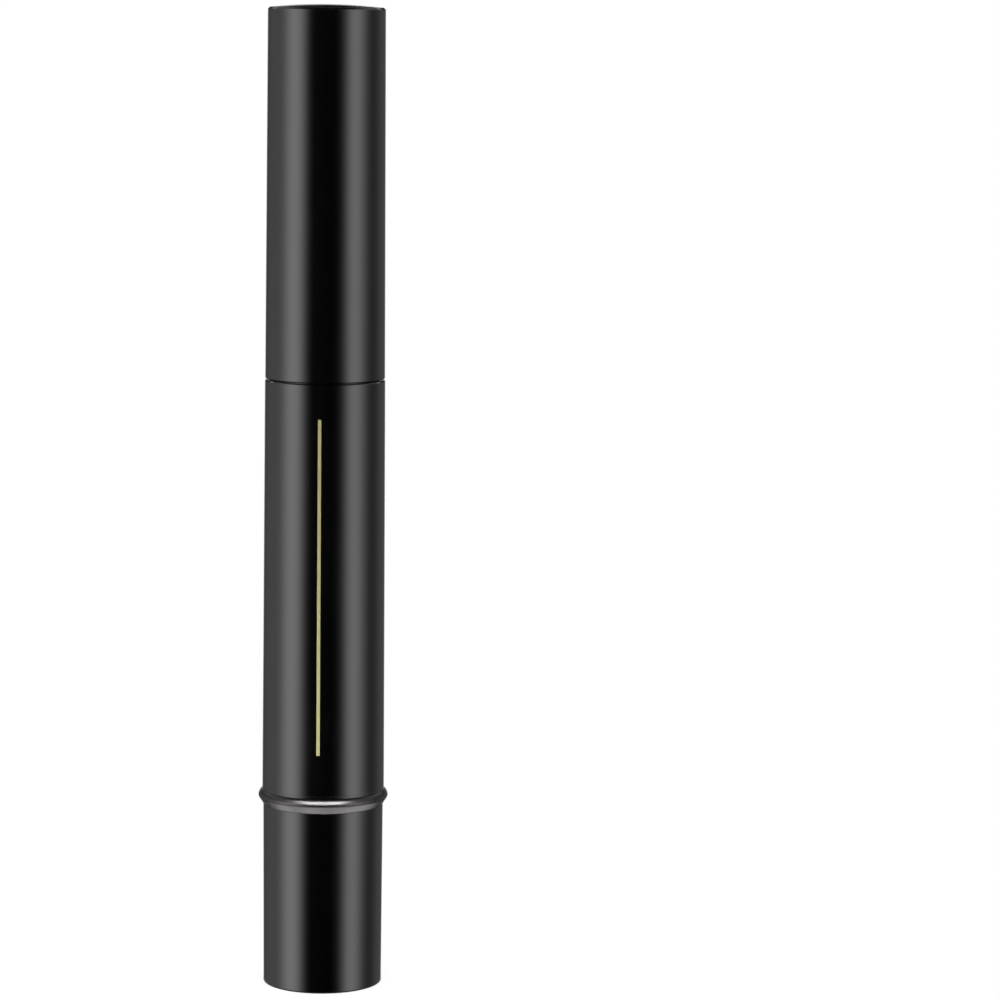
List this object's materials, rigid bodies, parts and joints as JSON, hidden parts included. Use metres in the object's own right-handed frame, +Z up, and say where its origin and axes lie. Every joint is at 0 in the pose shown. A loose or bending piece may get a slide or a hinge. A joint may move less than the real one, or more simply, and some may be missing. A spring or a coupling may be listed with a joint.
{
  "type": "nail polish pen",
  "caption": "Slender twist-up nail polish pen standing on its turning knob, with a pull-off cap over a stepped neck and a pointed brush.",
  "frame": {"origin": "centre of the knob's flat foot, at the middle of the pen's box", "axes": "+Z up along the pen's axis towards the cap, -Y to the front, where the foil line is, +X to the right of the front"},
  "size_m": [0.017, 0.017, 0.128],
  "materials": {
    "black_gloss": "polished black lacquer over moulded plastic",
    "black_neck": "moulded black, satin gloss",
    "dark_ring": "polished gunmetal",
    "gold_foil": "pressed gold foil",
    "pink_bristle": "nylon strands wet with pink polish",
    "natural_liner": "natural polyethylene",
    "natural_tube": "natural polypropylene",
    "seal_rubber": "smooth black rubber",
    "grey_mechanism": "moulded grey acetal",
    "white_mechanism": "moulded white acetal",
    "dark_core": "moulded dark plastic"
  },
  "bodies": {
    "barrel": {"barrel_shell": "black_gloss", "foil_line": "gold_foil", "trim_ring": "dark_ring", "reservoir_tube": "natural_tube", "neck_housing": "black_neck", "neck_o_ring": "seal_rubber", "brush_ferrule": "black_neck", "feed_tube": "natural_tube", "bristle_tuft": "pink_bristle", "mechanism_housing": "grey_mechanism", "ratchet_ring": "grey_mechanism", "rod_nut": "grey_mechanism"},
    "knob": {"knob_shell": "black_gloss", "knob_core": "dark_core", "click_rotor": "white_mechanism"},
    "rod": {"piston_rod": "white_mechanism"},
    "piston": {"piston": "white_mechanism"},
    "cap": {"cap_shell": "black_gloss", "inner_cap": "natural_liner"}
  },
  "joints": [
    {"name": "cap_pull", "type": "slide", "parent": "barrel", "child": "cap", "axis": [0, 0, 1], "range_m": [0, 0.055]},
    {"name": "knob_turn", "type": "hinge", "parent": "barrel", "child": "knob", "pos_m": [0, 0, 0.0239], "axis": [0, 0, 1], "range_deg": [0, 2880]},
    {"name": "rod_advance", "type": "slide", "parent": "knob", "child": "rod", "axis": [0, 0, 1], "range_m": [0, 0.0241]},
    {"name": "piston_advance", "type": "slide", "parent": "barrel", "child": "piston", "axis": [0, 0, 1], "range_m": [0, 0.0241]}
  ],
  "couplings": [
    {"joint": "rod_advance", "follows": "knob_turn", "m_per_rad": 0.00047746},
    {"joint": "piston_advance", "follows": "knob_turn", "m_per_rad": 0.00047746}
  ]
}
